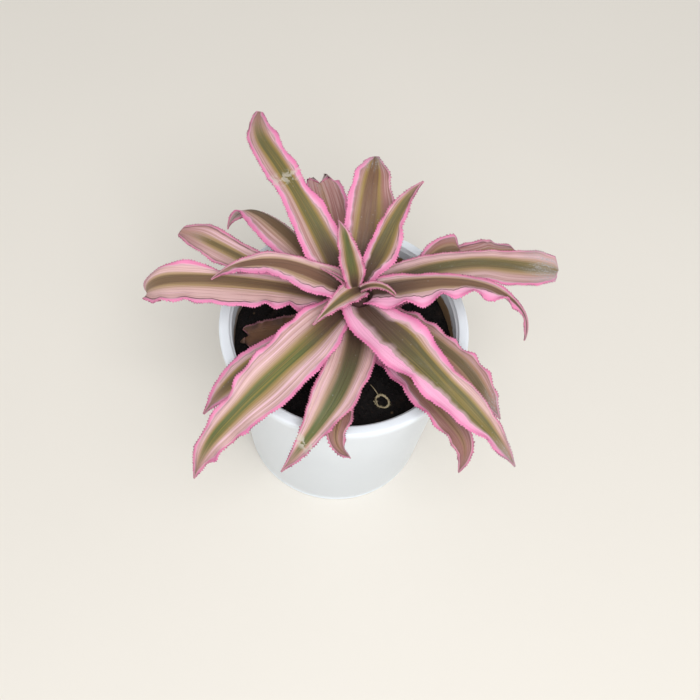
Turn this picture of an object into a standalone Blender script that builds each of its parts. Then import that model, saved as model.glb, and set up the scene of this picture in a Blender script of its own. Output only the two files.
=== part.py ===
"""Pink earth star, a small rosette houseplant, in its white tapered nursery pot.

Metres, +Z up. The pot stands on Z = 0 with its axis on the Z axis, and the side
with the low front leaves faces -Y.
"""

from math import cos, pi, radians, sin

import bmesh
import bpy
from mathutils import Vector

MM = 0.001
MERGE = 0.05

# Colour and roughness of each material.
POT_LOOK = ((0.8, 0.83, 0.88), 0.35)
SOIL_LOOK = ((0.02, 0.014, 0.01), 0.95)
STEM_LOOK = ((0.1, 0.07, 0.045), 0.85)
LEAF_LOOK = ((0.45, 0.24, 0.2), 0.5)
WITHERED_LOOK = ((0.13, 0.06, 0.04), 0.7)
CURL_LOOK = ((0.4, 0.3, 0.18), 0.9)

# Pot: a thin tapered shell with a flat lip.
POT_HEIGHT = 96
RIM_RADIUS = 55
LIP_DROP = 4
BODY_TOP_RADIUS = 51.5
BASE_RADIUS = 43.5
WALL = 1.6
FLOOR = 2.4
EDGE_ROUND = 0.8
POT_STEPS = 72
DRAIN_HOLES = 4
DRAIN_RADIUS = 4
DRAIN_CIRCLE = 28
HOLE_STEPS = 24

# Soil, and the gap that pieces keep where they meet.
SOIL_TOP = 84
SOIL_MOUND = 1
GAP = 0.3

# Stem, a little to the right of the pot's axis: (height, radius) up it.
STEM_X = 4
STEM_STATIONS = ((74, 6), (112, 6), (120, 4.5), (127, 3))
STEM_STEPS = 24

# Leaf blades: thickness, width at the foot and tip, and how the sides are raised
# along a channel (degrees, and how late the sides lift).
BLADE = 1.1
FOOT_WIDTH = 7
TIP_WIDTH = 0.8
CHANNEL = 12
CHANNEL_POWER = 1.6
ROWS = 20
COLUMNS = 4

# Dried curl of old leaf lying on the soil.
CURL_X = 20
CURL_Y = -31
CURL_RADIUS = 3.4
CURL_THICK = 1.6
CURL_TURN = 300
CURL_POINTS = 13

# Each leaf, from the top of the stem down: where it points and how far that
# changes along it (degrees), how high it leaves the stem (mm), its slope at the
# stem and at the tip (degrees) and how late it bends, its length and width (mm),
# where it is widest (% of its length) and how blunt it ends (10 is a straight
# taper).
LEAVES = {
    "leaf_centre_curled": (-24, 0, 124, 42, -30, 1, 15, 9, 20, 12),
    "leaf_centre_left": (-130, 0, 124, 20, -10, 1, 20, 13, 20, 12),
    "leaf_centre_upright": (127, 0, 124, 76, 40, 1, 28, 12, 40, 14),
    "leaf_back_right_upright": (55, 4, 121, 60, 22, 1, 50, 16, 30, 12),
    "leaf_centre_thin": (165, 0, 121, 46, 30, 1, 14, 5, 20, 12),
    "leaf_right_curved": (5, -6, 119, 11, -90, 2.5, 83, 19, 15, 8),
    "leaf_left_arching": (176, 8, 119, 35, -24, 1, 61, 17, 20, 11),
    "leaf_back_broad": (84, 8, 118, 34, -60, 6, 63, 21, 45, 18),
    "leaf_front_right_long": (-47, 14, 117, 7, -50, 2, 95, 24, 30, 18),
    "leaf_front_left_long": (-128, 6, 116, 8, -66, 2, 103, 25, 40, 18),
    "leaf_back_left_long": (141, -32, 115, 38, -10, 1, 97, 16, 25, 28),
    "leaf_left_broad": (-175, 0, 113, 9, -95, 5, 92, 21, 50, 25),
    "leaf_right_broad": (25, -16, 112, 10, -26, 2, 88, 20, 50, 50),
    "leaf_front": (-88, -44, 112, 0, -40, 1.5, 76, 21, 40, 13),
    "leaf_back_short": (112, 0, 109, 22, 6, 1, 57, 14, 50, 30),
    "leaf_left_high": (164, -3, 107, 15, -14, 2, 78, 16, 50, 40),
    "leaf_right_short": (48, -6, 108, 12, -6, 1, 54, 15, 50, 30),
    "leaf_front_right_low": (-24, -18, 107, 8, -34, 2, 72, 19, 40, 18),
    "leaf_back_left_folded": (140, 16, 104, 13, -80, 4, 74, 16, 50, 20),
    "leaf_right_crinkled": (40, -16, 101, 10, -12, 2, 76, 16, 50, 20),
    "leaf_front_left_low": (-141, 0, 104, 8, -24, 1, 73, 17, 45, 16),
    "leaf_front_right_hooked": (-57, 20, 104, 8, -80, 3, 84, 18, 40, 18),
    "leaf_front_low": (-94, 18, 101, 5, -80, 4, 64, 14, 40, 16),
    "leaf_left_withered": (-171, 0, 92, -6, -8, 1, 44, 16, 50, 20),
}


def clear_scene():
    for item in list(bpy.data.objects):
        bpy.data.objects.remove(item)


def add_collection(name, shown=True):
    found = bpy.data.collections.new(name)
    found.hide_render = not shown
    bpy.context.scene.collection.children.link(found)
    return found


def add_material(name, colour, roughness):
    material = bpy.data.materials.new(name)
    material.use_nodes = True
    shader = material.node_tree.nodes["Principled BSDF"]
    shader.inputs["Base Color"].default_value = (*colour, 1)
    shader.inputs["Roughness"].default_value = roughness
    shader.inputs["Metallic"].default_value = 0
    return material


def add_object(name, collection, data, look=None):
    """Link a new object, with its own material where it has a look."""
    thing = bpy.data.objects.new(name, data)
    collection.objects.link(thing)
    if look:
        data.materials.append(add_material(name, *look))
    return thing


def turned(name, collection, profile, steps, look):
    """A body of revolution: the profile, in mm, runs down its outer side."""
    mesh = bpy.data.meshes.new(name)
    points = [(radius * MM, 0, height * MM) for radius, height in profile]
    mesh.from_pydata(points, [(i, i + 1) for i in range(len(points) - 1)], [])
    thing = add_object(name, collection, mesh, look)
    screw = thing.modifiers.new("turn", "SCREW")
    screw.steps = screw.render_steps = steps
    screw.use_merge_vertices = True
    screw.merge_threshold = MERGE * MM
    return thing


def cut_hole(thing, cutters, name, radius, bottom, top, x, y):
    """Cut an upright round hole, in mm, out of an object."""
    mesh = bpy.data.meshes.new(name)
    shape = bmesh.new()
    bmesh.ops.create_cone(
        shape, cap_ends=True, segments=HOLE_STEPS,
        radius1=radius * MM, radius2=radius * MM, depth=(top - bottom) * MM,
    )
    shape.to_mesh(mesh)
    shape.free()
    cutter = add_object(name, cutters, mesh)
    cutter.location = Vector((x, y, (bottom + top) / 2)) * MM
    cutter.hide_render = True
    cutter.display_type = "WIRE"
    boolean = thing.modifiers.new(name, "BOOLEAN")
    boolean.operation = "DIFFERENCE"
    boolean.solver = "EXACT"
    boolean.object = cutter


def body_radius(height):
    """Outer radius of the pot's tapered body at a height."""
    return BASE_RADIUS + (BODY_TOP_RADIUS - BASE_RADIUS) * height / POT_HEIGHT


def stem_radius(height):
    """Radius of the stem at a height: straight, then narrowing twice."""
    low, high = STEM_STATIONS[0], STEM_STATIONS[-1]
    for station in STEM_STATIONS[1:]:
        if height <= station[0]:
            high = station
            break
        low = station
    share = (height - low[0]) / (high[0] - low[0])
    return low[1] + (high[1] - low[1]) * share


def add_pot(collection, cutters):
    """A thin tapered shell with a rounded lip and drain holes in its floor."""
    lip_bottom = POT_HEIGHT - LIP_DROP
    mouth = BODY_TOP_RADIUS - WALL
    profile = (
        (0, FLOOR),
        (body_radius(FLOOR) - WALL, FLOOR),
        (mouth, POT_HEIGHT - EDGE_ROUND),
        (mouth + EDGE_ROUND, POT_HEIGHT),
        (RIM_RADIUS - EDGE_ROUND, POT_HEIGHT),
        (RIM_RADIUS, POT_HEIGHT - EDGE_ROUND),
        (RIM_RADIUS, lip_bottom + EDGE_ROUND),
        (RIM_RADIUS - EDGE_ROUND, lip_bottom),
        (body_radius(lip_bottom), lip_bottom),
        (body_radius(EDGE_ROUND), EDGE_ROUND),
        (BASE_RADIUS - EDGE_ROUND, 0),
        (0, 0),
    )
    pot = turned("pot", collection, profile, POT_STEPS, POT_LOOK)
    for i in range(DRAIN_HOLES):
        turn = 2 * pi * (i + 0.5) / DRAIN_HOLES
        x, y = DRAIN_CIRCLE * cos(turn), DRAIN_CIRCLE * sin(turn)
        name = f"drain_cutter_{i}"
        cut_hole(pot, cutters, name, DRAIN_RADIUS, -FLOOR, 2 * FLOOR, x, y)
    return pot


def add_soil(collection, cutters):
    """Soil that fills the pot to below its lip, with a hole for the stem."""
    bottom = FLOOR + GAP
    inset = WALL + GAP
    profile = (
        (0, SOIL_TOP + SOIL_MOUND),
        (body_radius(SOIL_TOP) / 2, SOIL_TOP + SOIL_MOUND / 2),
        (body_radius(SOIL_TOP) - inset, SOIL_TOP),
        (body_radius(bottom) - inset, bottom),
        (0, bottom),
    )
    soil = turned("soil", collection, profile, POT_STEPS, SOIL_LOOK)
    foot = STEM_STATIONS[0][0]
    top = STEM_STATIONS[-1][0]
    radius = stem_radius(foot) + GAP
    cut_hole(soil, cutters, "stem_cutter", radius, foot - GAP, top, STEM_X, 0)
    return soil


def add_stem(collection):
    stations = [(radius, height) for height, radius in reversed(STEM_STATIONS)]
    profile = [(0, stations[0][1]), *stations, (0, stations[-1][1])]
    stem = turned("stem", collection, profile, STEM_STEPS, STEM_LOOK)
    stem.location.x = STEM_X * MM
    return stem


def blade_width(along, width, widest, blunt):
    """Width of a blade in mm, narrow at the foot and tapering from its widest place."""
    widest /= 100
    foot = min(FOOT_WIDTH / width, 1)
    if along < widest:
        return width * (foot + (1 - foot) * sin(pi / 2 * along / widest))
    taper = ((along - widest) / (1 - widest)) ** (blunt / 10)
    return max(width * (1 - taper), TIP_WIDTH)


def midrib(sweep, rise, droop, bend, length):
    """Rows down the middle of a blade that starts at the origin towards +X: how far
    along each is, its point in mm, its heading and its slope."""
    def course(along):
        return radians(sweep * along), radians(rise + (droop - rise) * along**bend)

    point = Vector()
    rows = []
    for i in range(ROWS + 1):
        rows.append((i / ROWS, point.copy(), *course(i / ROWS)))
        heading, slope = course((i + 0.5) / ROWS)
        level = cos(slope) * length / ROWS
        rise_here = sin(slope) * length / ROWS
        point += Vector((level * cos(heading), level * sin(heading), rise_here))
    return rows


def add_leaf(name, collection, design, look):
    """A channelled strap with its foot against the stem, from one row of LEAVES."""
    turn, sweep, height, rise, droop, bend, length, width, widest, blunt = design
    rows = midrib(sweep, rise, droop, bend, length)
    shape = bmesh.new()
    bmesh.ops.create_grid(shape, x_segments=ROWS, y_segments=COLUMNS, size=1)
    for vert in shape.verts:
        along, point, heading, slope = rows[round((vert.co.x + 1) / 2 * ROWS)]
        across = vert.co.y
        side = Vector((-sin(heading), cos(heading), 0))
        up = Vector((-sin(slope) * cos(heading), -sin(slope) * sin(heading), cos(slope)))
        half = blade_width(along, width, widest, blunt) / 2
        spread = half * cos(radians(CHANNEL)) * across
        lift = half * sin(radians(CHANNEL)) * abs(across) ** CHANNEL_POWER
        vert.co = (point + side * spread + up * lift) * MM
    mesh = bpy.data.meshes.new(name)
    shape.to_mesh(mesh)
    shape.free()
    mesh.shade_smooth()
    leaf = add_object(name, collection, mesh, look)
    solid = leaf.modifiers.new("blade", "SOLIDIFY")
    solid.thickness = BLADE * MM
    solid.offset = 0
    turn = radians(turn)
    seat = stem_radius(height) + GAP + BLADE / 2 * sin(radians(rise))
    leaf.location = Vector((STEM_X + seat * cos(turn), seat * sin(turn), height)) * MM
    leaf.rotation_euler.z = turn
    return leaf


def add_curl(collection):
    """A shred of dry leaf, curled into an open ring that lies on the soil."""
    curve = bpy.data.curves.new("dried_curl", "CURVE")
    curve.dimensions = "3D"
    curve.bevel_depth = CURL_THICK / 2 * MM
    curve.bevel_resolution = 1
    curve.use_fill_caps = True
    line = curve.splines.new("POLY")
    line.points.add(CURL_POINTS - 1)
    for i, point in enumerate(line.points):
        turn = radians(CURL_TURN) * i / (CURL_POINTS - 1)
        point.co = (CURL_RADIUS * MM * cos(turn), CURL_RADIUS * MM * sin(turn), 0, 1)
    curl = add_object("dried_curl", collection, curve, CURL_LOOK)
    height = SOIL_TOP + SOIL_MOUND / 4 + GAP + CURL_THICK / 2
    curl.location = Vector((CURL_X, CURL_Y, height)) * MM
    return curl


def main():
    clear_scene()
    collection = add_collection("potted earth star")
    cutters = add_collection("cutters", shown=False)
    plant = add_object("potted_earth_star", collection, None)
    pieces = [add_pot(collection, cutters), add_soil(collection, cutters)]
    pieces += [add_stem(collection), add_curl(collection)]
    for name, design in LEAVES.items():
        look = WITHERED_LOOK if name.endswith("withered") else LEAF_LOOK
        pieces.append(add_leaf(name, collection, design, look))
    for piece in pieces:
        piece.parent = plant


main()
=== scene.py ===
"""Looks of a potted earth star: a rosette of striped, toothed leaves in a white nursery pot.

Sizes are worked out in millimetres. Settings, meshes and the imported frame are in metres. The
pot stands on Z = 0 with its axis on the Z axis, and the low front leaves face -Y.
"""

import random
from math import ceil, cos, hypot, pi, radians, sin
from typing import NamedTuple

import bmesh
import bpy
from bpy.props import FloatProperty, FloatVectorProperty, IntProperty, PointerProperty
from mathutils import Matrix, Vector, noise


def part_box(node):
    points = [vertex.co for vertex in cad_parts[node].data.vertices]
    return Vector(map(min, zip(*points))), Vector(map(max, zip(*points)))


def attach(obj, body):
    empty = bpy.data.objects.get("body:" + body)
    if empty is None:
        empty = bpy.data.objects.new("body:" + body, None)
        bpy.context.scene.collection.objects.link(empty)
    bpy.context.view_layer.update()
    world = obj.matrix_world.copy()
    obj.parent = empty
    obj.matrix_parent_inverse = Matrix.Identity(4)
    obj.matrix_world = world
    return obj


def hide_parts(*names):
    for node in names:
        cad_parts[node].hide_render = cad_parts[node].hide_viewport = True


bl_info = {
    "name": "Potted Earth Star",
    "version": (1, 0, 0),
    "blender": (4, 5, 0),
    "location": "View3D > Sidebar > Earth Star",
    "description": "Builds a pink earth star in a nursery pot around its packed frame",
    "category": "Add Mesh",
}

MM = 0.001

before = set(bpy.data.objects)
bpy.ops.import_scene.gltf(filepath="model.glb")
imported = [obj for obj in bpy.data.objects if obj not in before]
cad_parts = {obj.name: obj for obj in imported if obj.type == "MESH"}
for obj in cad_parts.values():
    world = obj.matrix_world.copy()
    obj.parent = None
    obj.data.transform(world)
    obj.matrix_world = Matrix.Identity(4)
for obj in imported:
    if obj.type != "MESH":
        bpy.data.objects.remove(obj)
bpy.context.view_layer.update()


def node_box(node):
    """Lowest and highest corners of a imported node, in mm."""
    low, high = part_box(node)
    return low / MM, high / MM


POT_HIGH = node_box("pot")[1]
SOIL_LOW, SOIL_HIGH = node_box("soil")
STEM_LOW, STEM_HIGH = node_box("stem")
CURL_LOW, CURL_HIGH = node_box("dried_curl")
STEM_X = (STEM_LOW.x + STEM_HIGH.x) / 2


def tint(red, green, blue):
    """A colour of 8-bit screen values as the linear values that shaders take."""
    return tuple(
        value / 255 / 12.92 if value < 11 else ((value / 255 + 0.055) / 1.055) ** 2.4
        for value in (red, green, blue)
    )


def ramp(value, low, high):
    """0 at low, 1 at high, and smooth between them."""
    share = min(max((value - low) / (high - low), 0), 1)
    return share * share * (3 - 2 * share)


def blended(low, high, share):
    """The value that stands this share of the way from low to high."""
    return low + (high - low) * share


# -------- settings


def size_setting(name, description, default, low=0.0):
    """A length, whose default and lowest value are given in mm."""
    return FloatProperty(
        name=name, description=description, default=default * MM, min=low * MM, precision=4,
        unit="LENGTH",
    )


def count_setting(name, description, default):
    return IntProperty(name=name, description=description, default=default, min=0)


def colour_setting(name, description, default):
    return FloatVectorProperty(
        name=name, description=description, default=default, size=3, min=0, max=1, subtype="COLOR"
    )


class PotSettings(bpy.types.PropertyGroup):
    """Sizes and colours of the pot."""

    wall: size_setting("Wall", "Thickness of the pot's wall", 1.6, 0.4)
    lip_drop: size_setting("Lip drop", "Height of the lip's outer band", 4.0, 1.0)
    # Bluish white: the plastic is white, and its blue tint is painted light, the cool cast of the
    # shade on the pot.
    colour: colour_setting("Plastic", "Colour of the moulded plastic", tint(238, 246, 255))
    stain: colour_setting("Stain", "Colour of the tide mark inside", tint(132, 106, 76))


class SoilSettings(bpy.types.PropertyGroup):
    """Grain and colours of the potting mix."""

    crumbs: count_setting("Crumbs", "Loose crumbs on the surface", 620)
    fibres: count_setting("Fibres", "Loose fibres on the surface", 34)
    dark: colour_setting("Peat", "Colour of the damp peat", tint(13, 9, 9))
    brown: colour_setting("Bark", "Colour of the bark crumbs", tint(62, 46, 35))
    chip: colour_setting("Chip", "Colour of the few pale chips", tint(120, 98, 74))


class StemSettings(bpy.types.PropertyGroup):
    """Colours of the stem."""

    bark: colour_setting("Bark", "Colour between the leaf scars", tint(84, 62, 52))
    scar: colour_setting("Leaf scar", "Colour of the old leaf scars", tint(48, 34, 32))
    flake: colour_setting("Flake", "Colour of the dry flakes", tint(150, 130, 100))
    top: colour_setting("Growing top", "Colour of the top among the leaves", tint(84, 52, 52))


class CurlSettings(bpy.types.PropertyGroup):
    """Colours of the dried curl."""

    straw: colour_setting("Straw", "Colour of the dry leaf", tint(190, 178, 144))
    streak: colour_setting("Streak", "Colour of its brown streaks", tint(116, 94, 64))


class LeafSettings(bpy.types.PropertyGroup):
    """Sizes and colours of the leaves."""

    thickness: size_setting("Thickness", "Thickness of a blade at its middle", 1.0, 0.2)
    tooth: size_setting("Tooth", "How far a margin tooth stands out", 0.75)
    pitch: size_setting("Tooth pitch", "Distance between margin teeth", 1.1, 0.4)
    pink: colour_setting("Pink margin", "Colour of the toothed margins", tint(230, 128, 174))
    # Shell pink is partly the margins' own paler pink and partly painted highlight.
    shell: colour_setting("Shell pink", "Colour of the palest margins", tint(242, 172, 204))
    blush: colour_setting("Blush", "Colour of the fine pale pink lines", tint(230, 190, 204))
    pale: colour_setting("Pale band", "Colour of the pale bands", tint(210, 173, 170))
    rosy: colour_setting("Rosy band", "Colour of the rosy brown bands", tint(166, 116, 112))
    gold: colour_setting("Golden line", "Colour of the lines by the centre", tint(148, 124, 60))
    green: colour_setting("Olive centre", "Colour of a young centre stripe", tint(90, 100, 54))
    brown: colour_setting("Brown centre", "Colour of a shaded centre stripe", tint(116, 84, 66))
    # The dark foot is partly the leaves' own browner base and partly painted shade, where the
    # leaves above shade each blade near the stem; the same colour also draws the dark streaks in
    # the centre stripes.
    dark: colour_setting("Dark foot", "Colour of the centre near the stem", tint(74, 56, 48))
    # The crease colour draws the dark line inside a margin, which is partly a reddish line and
    # partly painted shade in the fold of the margin; it also draws the rusty edge.
    crease: colour_setting("Crease", "Colour of the line inside a margin", tint(96, 54, 64))
    scurf: colour_setting("Scurf", "Colour of the grey scales", tint(168, 166, 166))
    old: colour_setting("Old leaf", "Colour of the withered leaf", tint(86, 58, 37))
    scrape: colour_setting("Scrape", "Colour of the scraped patches", tint(208, 200, 186))


class StageSettings(bpy.types.PropertyGroup):
    """The floor and the lights."""

    floor: colour_setting("Floor", "Colour of the plain floor", tint(229, 224, 215))
    sky: FloatProperty(name="Sky", description="Strength of the even light", default=0.62, min=0)
    lamp: FloatProperty(
        name="Lamp", description="Power of the soft lamp", default=9.4, min=0, unit="POWER"
    )


# -------- shader sums


class Wire:
    """One output socket, which takes sums and products with other wires and numbers."""

    def __init__(self, finish, socket):
        self.finish = finish
        self.socket = socket

    def math(self, operation, *values, clamp=False):
        settings = {"operation": operation, "use_clamp": clamp}
        return self.finish.node("ShaderNodeMath", settings, *values)

    def __add__(self, other):
        return self.math("ADD", self, other)

    __radd__ = __add__

    def __sub__(self, other):
        return self.math("SUBTRACT", self, other)

    def __rsub__(self, other):
        return self.math("SUBTRACT", other, self)

    def __mul__(self, other):
        return self.math("MULTIPLY", self, other)

    __rmul__ = __mul__

    def __truediv__(self, other):
        return self.math("DIVIDE", self, other)

    def __pow__(self, other):
        return self.math("POWER", self, other)

    def __abs__(self):
        return self.math("ABSOLUTE", self)

    def held(self):
        """This value, kept between 0 and 1."""
        return self.math("ADD", self, 0, clamp=True)

    def fraction(self):
        """What this value has past its whole part."""
        return self.math("FRACT", self)

    def rise(self, low, high):
        """0 where this is low, 1 where it is high, and smooth between."""
        settings = {"interpolation_type": "SMOOTHSTEP"}
        return self.finish.node("ShaderNodeMapRange", settings, self, low, high, 0, 1)


class Finish:
    """A material whose nodes are added by Python expressions."""

    def __init__(self, name, constants=None):
        self.material = bpy.data.materials.new(name)
        self.material.use_nodes = True
        self.tree = self.material.node_tree
        self.shader = self.tree.nodes["Principled BSDF"]
        for socket, value in (constants or {}).items():
            self.shader.inputs[socket].default_value = value

    def node(self, kind, settings=None, *values, out=0, **named):
        """Add a node: its settings first, then its sockets in order or by name."""
        made = self.tree.nodes.new(kind)
        for setting, value in (settings or {}).items():
            setattr(made, setting, value)
        sockets = [(made.inputs[i], value) for i, value in enumerate(values)]
        sockets += [(made.inputs[name.replace("_", " ")], value) for name, value in named.items()]
        for socket, value in sockets:
            self.feed(socket, value)
        return Wire(self, made.outputs[out])

    def feed(self, socket, value):
        if isinstance(value, Wire):
            self.tree.links.new(value.socket, socket)
        elif value is not None:
            sized = tuple(value) if hasattr(value, "__len__") else value
            if isinstance(sized, tuple) and len(socket.default_value) > len(sized):
                sized = (*sized, 1)
            socket.default_value = sized

    def mix(self, low, high, share):
        """The colour low where share is 0 and high where it is 1."""
        made = self.tree.nodes.new("ShaderNodeMix")
        made.data_type = "RGBA"
        self.feed(made.inputs[0], share)
        self.feed(made.inputs[6], low)
        self.feed(made.inputs[7], high)
        return Wire(self, made.outputs[2])

    def layered(self, base, *layers):
        """The base colour under layers of a colour and its share, the last one on top."""
        for colour, share in layers:
            base = self.mix(base, colour, share)
        return base

    def shaded(self, colour, amount):
        """The colour times a value, such as 1.1 for a little brighter."""
        return self.node("ShaderNodeVectorMath", {"operation": "SCALE"}, colour, Scale=amount)

    def attribute(self, name):
        return self.node("ShaderNodeAttribute", {"attribute_name": name}, out="Fac")

    def uv(self, name):
        """Both values of a UV map as wires."""
        place = self.node("ShaderNodeUVMap", {"uv_map": name})
        return self.parts(place)[:2]

    def place(self):
        """Object coordinates, in metres."""
        return self.node("ShaderNodeTexCoord", None, out="Object")

    def parts(self, vector):
        split = self.tree.nodes.new("ShaderNodeSeparateXYZ")
        self.feed(split.inputs[0], vector)
        return [Wire(self, output) for output in split.outputs]

    def joined(self, x, y, z=0.0):
        return self.node("ShaderNodeCombineXYZ", None, x, y, z)

    def noise(self, vector, scale, detail=2.0, roughness=0.5):
        return self.node(
            "ShaderNodeTexNoise", None,
            Vector=vector, Scale=scale, Detail=detail, Roughness=roughness,
        )

    def cells(self, vector, scale):
        """Distance from the nearest of many scattered points."""
        return self.node("ShaderNodeTexVoronoi", None, out="Distance", Vector=vector, Scale=scale)

    def bumps(self, height, distance):
        """Send a height, and its depth in metres, to the shader's normal."""
        normal = self.node("ShaderNodeBump", None, Distance=distance, Height=height)
        self.feed(self.shader.inputs["Normal"], normal)

    def wear(self, colour, roughness=None):
        self.feed(self.shader.inputs["Base Color"], colour)
        if roughness is not None:
            self.feed(self.shader.inputs["Roughness"], roughness)
        return self.material


# -------- pieces


def add_piece(name, shape, node, slot, *materials):
    """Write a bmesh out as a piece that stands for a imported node."""
    mesh = bpy.data.meshes.new(name)
    shape.to_mesh(mesh)
    shape.free()
    mesh.shade_smooth()
    for material in materials:
        mesh.materials.append(material)
    piece = bpy.data.objects.new(name, mesh)
    bpy.context.scene.collection.objects.link(piece)
    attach(piece, "root")
    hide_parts(node)
    return piece


def spun(profile, steps):
    """A closed body of revolution from (radius, height) points that start and end on the axis."""
    shape = bmesh.new()
    verts = [shape.verts.new((radius * MM, 0, height * MM)) for radius, height in profile]
    edges = [shape.edges.new(pair) for pair in zip(verts, verts[1:])]
    bmesh.ops.spin(
        shape, geom=verts + edges, axis=(0, 0, 1), cent=(0, 0, 0), angle=2 * pi, steps=steps,
        use_merge=True,
    )
    bmesh.ops.remove_doubles(shape, verts=shape.verts, dist=1e-6)
    bmesh.ops.recalc_face_normals(shape, faces=shape.faces)
    return shape


def tube(shape, points, radii, sides=8):
    """Extrude a round, capped tube along points in mm, from a circle at the first."""
    stations = [Vector(point) * MM for point in points]
    for i, station in enumerate(stations):
        ahead = stations[min(i + 1, len(stations) - 1)] - stations[max(i - 1, 0)]
        turned = ahead.to_track_quat("Z", "Y").to_matrix().to_4x4()
        matrix = Matrix.Translation(station) @ turned @ Matrix.Scale(radii[i] * MM, 4)
        if i == 0:
            ring = bmesh.ops.create_circle(
                shape, cap_ends=True, segments=sides, radius=1, matrix=matrix
            )
            bottom = face = ring["verts"][0].link_faces[0]
        else:
            made = bmesh.ops.extrude_face_region(
                shape, geom=[face, *face.edges], use_keep_orig=(face is bottom)
            )["geom"]
            verts = [item for item in made if isinstance(item, bmesh.types.BMVert)]
            bmesh.ops.transform(shape, matrix=matrix @ last.inverted(), verts=verts)
            face = next(item for item in made if isinstance(item, bmesh.types.BMFace))
        last = matrix


# -------- pot

BASE_RADIUS = 43.5
BODY_TOP_RADIUS = 51.5
POT_STEPS = 160
DRAIN_HOLES = 4
DRAIN_RADIUS = 4
DRAIN_CIRCLE = 28
DRAIN_DEPTH = 20
TAPER = (BODY_TOP_RADIUS - BASE_RADIUS) / POT_HIGH.z


def body_radius(height):
    """Outer radius of the pot's tapered body."""
    return blended(BASE_RADIUS, BODY_TOP_RADIUS, height / POT_HIGH.z)


def arc(centre, radius, start, end, count=5):
    """Points of a rounded corner in a profile, from one angle to another in degrees."""
    turns = [radians(blended(start, end, i / count)) for i in range(count + 1)]
    return [(centre[0] + radius * cos(turn), centre[1] + radius * sin(turn)) for turn in turns]


def pot_profile(wall, lip_drop):
    """Half section of the pot, from the middle of its floor out over the lip and under."""
    top, lip = POT_HIGH.z, POT_HIGH.x
    band = top - lip_drop
    mouth = body_radius(band) - wall
    floor, groove, foot, middle = 2.4, 3.4, 1.0, 70
    ring, step = 4.5, 1.6
    return [
        (0, floor),
        *arc((body_radius(floor) - wall - 2, floor + 2), 2, -90, -3),
        (body_radius(middle) - wall, middle),
        *arc((mouth + 0.3, top - step - 0.4), 0.4, 180, 90, 3),
        *arc((lip - ring + 0.5, top - 0.5), 0.5, 180, 90, 3),
        *arc((lip - 1.1, top - 1.1), 1.1, 90, 0),
        *arc((lip - 0.5, band + 0.5), 0.5, 0, -90, 3),
        *arc((body_radius(band) + 0.8, band - 0.8), 0.8, 90, 180, 4),
        (body_radius(groove + 0.5), groove + 0.5),
        (body_radius(groove) - 0.35, groove),
        (body_radius(groove - 0.6), groove - 0.5),
        *arc((BASE_RADIUS - 0.8, 0.8), 0.8, 0, -90, 4),
        (BASE_RADIUS - 3.2, 0),
        (BASE_RADIUS - 3.8, foot),
        (0, foot),
    ]


def plastic(settings):
    """White moulded plastic: faint cloudiness, rubbed roughness, a tide mark and dust."""
    finish = Finish("white pot plastic", {
        "Subsurface Weight": 0.25,
        "Subsurface Radius": (0.004, 0.004, 0.004),
        "Subsurface Scale": 1,
    })
    place = finish.place()
    x, y, z = finish.parts(place)
    radius = (x * x + y * y) ** 0.5
    cloud = finish.noise(place, 45, 3)
    colour = finish.shaded(settings.colour, 0.985 + (cloud - 0.5) * 0.05)
    height = z / MM
    wall = settings.wall / MM
    depth = height * TAPER + BASE_RADIUS - radius / MM
    inside = depth.rise(0.4 * wall, 0.6 * wall)
    edge = finish.noise(finish.joined(x, y, z * 3), 160, 4, 0.7)
    side = x.rise(-0.02, 0.03)
    reach = height - SOIL_HIGH.z + (edge - 0.5) * 7 - side * 2
    tide = inside * (1 - reach.rise(1, 3.5)) * (0.6 + edge * 0.5)
    # Stain colour clouded over the inner wall on the right side: partly a dirt film, partly painted
    # shade on that wall.
    film_and_shade = inside * side * cloud * 0.5
    colour = finish.mix(colour, settings.stain, (tide + film_and_shade).held())
    speck = 1 - finish.cells(place, 190).rise(0.03, 0.1)
    low = 1 - height.rise(4, 14)
    dust = finish.noise(place, 120, 2).rise(0.55, 0.7)
    colour = finish.mix(colour, settings.stain, (speck * (low * 0.7 + 0.06) * dust).held())
    scuffs = finish.noise(finish.joined(x * 2, y * 2, z * 14), 60, 4, 0.65)
    finish.bumps(cloud + scuffs * 0.3, 0.00012)
    return finish.wear(colour, 0.27 + scuffs * 0.14 + tide * 0.4)


class EARTHSTAR_OT_pot(bpy.types.Operator):
    """Turn the pot: tapered wall, stepped lip, foot groove and drain holes"""

    bl_idname = "earthstar.pot"
    bl_label = "Pot"

    def execute(self, context):
        settings = context.scene.earthstar_pot
        shape = spun(pot_profile(settings.wall / MM, settings.lip_drop / MM), POT_STEPS)
        piece = add_piece("pot_shell", shape, "pot", "pot", plastic(settings))
        for i in range(DRAIN_HOLES):
            turn = 2 * pi * (i + 0.5) / DRAIN_HOLES
            cut_drain(piece, DRAIN_CIRCLE * cos(turn), DRAIN_CIRCLE * sin(turn))
        return {"FINISHED"}


def cut_drain(piece, x, y):
    """Cut one round drain hole through the pot's floor."""
    shape = bmesh.new()
    matrix = Matrix.Translation(Vector((x, y, 0)) * MM)
    bmesh.ops.create_cone(
        shape, cap_ends=True, segments=32, radius1=DRAIN_RADIUS * MM, radius2=DRAIN_RADIUS * MM,
        depth=DRAIN_DEPTH * MM, matrix=matrix,
    )
    mesh = bpy.data.meshes.new("drain cutter")
    shape.to_mesh(mesh)
    shape.free()
    cutter = bpy.data.objects.new("drain cutter", mesh)
    bpy.context.scene.collection.objects.link(cutter)
    boolean = piece.modifiers.new("drain", "BOOLEAN")
    boolean.operation = "DIFFERENCE"
    boolean.solver = "EXACT"
    boolean.object = cutter
    graph = bpy.context.evaluated_depsgraph_get()
    cut = bpy.data.meshes.new_from_object(piece.evaluated_get(graph))
    piece.modifiers.clear()
    piece.data = cut
    bpy.data.objects.remove(cutter)


# -------- soil

SOIL_RINGS = 60
SOIL_STEPS = 180
MOUND = 1  # how far the middle stands above the edge
CRUMB_RADIUS = 0.75
FIBRE_STEPS = 5


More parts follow.
